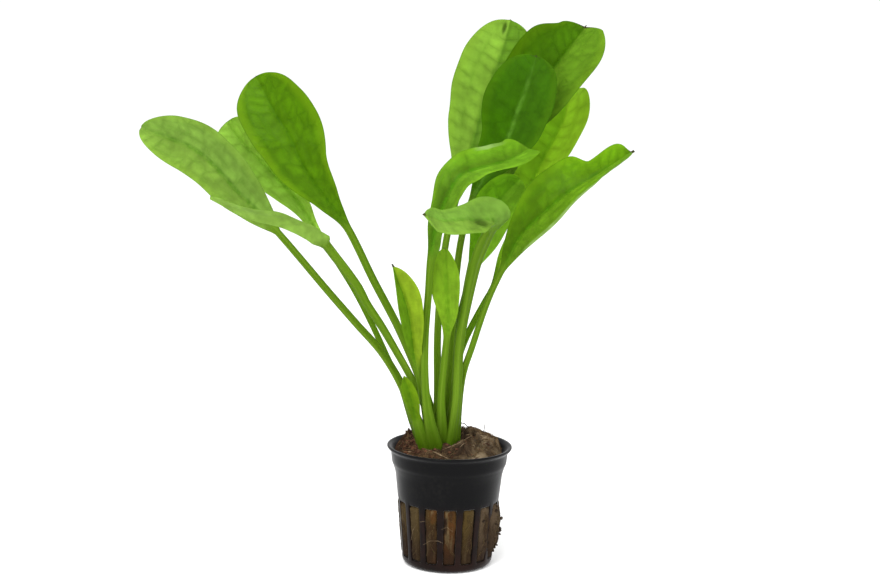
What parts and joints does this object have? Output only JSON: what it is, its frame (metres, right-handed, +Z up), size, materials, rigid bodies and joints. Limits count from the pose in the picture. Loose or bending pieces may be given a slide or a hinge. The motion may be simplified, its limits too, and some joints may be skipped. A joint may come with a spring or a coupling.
{
  "type": "potted aquarium plant",
  "caption": "Potted echinodorus: a rosette of long-stalked spoon-shaped green leaves growing from brown wool in a slotted black net pot.",
  "frame": {"origin": "centre of the pot's underside", "axes": "+Z up along the pot's axis; -Y is the front of the plant as pictured; +X is to the right seen from the front"},
  "size_m": [0.1944, 0.1178, 0.2273],
  "materials": {
    "pot_black": "semi-matt moulded",
    "wool_brown": "matt fibrous",
    "crown_pale": "satin",
    "leaf_dark": "satin",
    "leaf_mid": "satin",
    "leaf_pale": "satin"
  },
  "bodies": {
    "root": {"net_pot": "pot_black", "growing_wool": "wool_brown", "crown": "crown_pale", "leaf_far_left": "leaf_pale", "leaf_left_middle": "leaf_pale", "leaf_left_broad": "leaf_dark", "leaf_left_low": "leaf_pale", "young_leaf_left": "leaf_mid", "sheath_leaf_left": "leaf_mid", "leaf_arching": "leaf_mid", "young_leaf_front": "leaf_mid", "leaf_front": "leaf_pale", "leaf_inner_right": "leaf_dark", "leaf_right_low": "leaf_dark", "leaf_right_back": "leaf_pale", "leaf_tall_centre": "leaf_dark", "leaf_tall_right": "leaf_dark", "leaf_tall_back": "leaf_pale"}
  },
  "joints": []
}
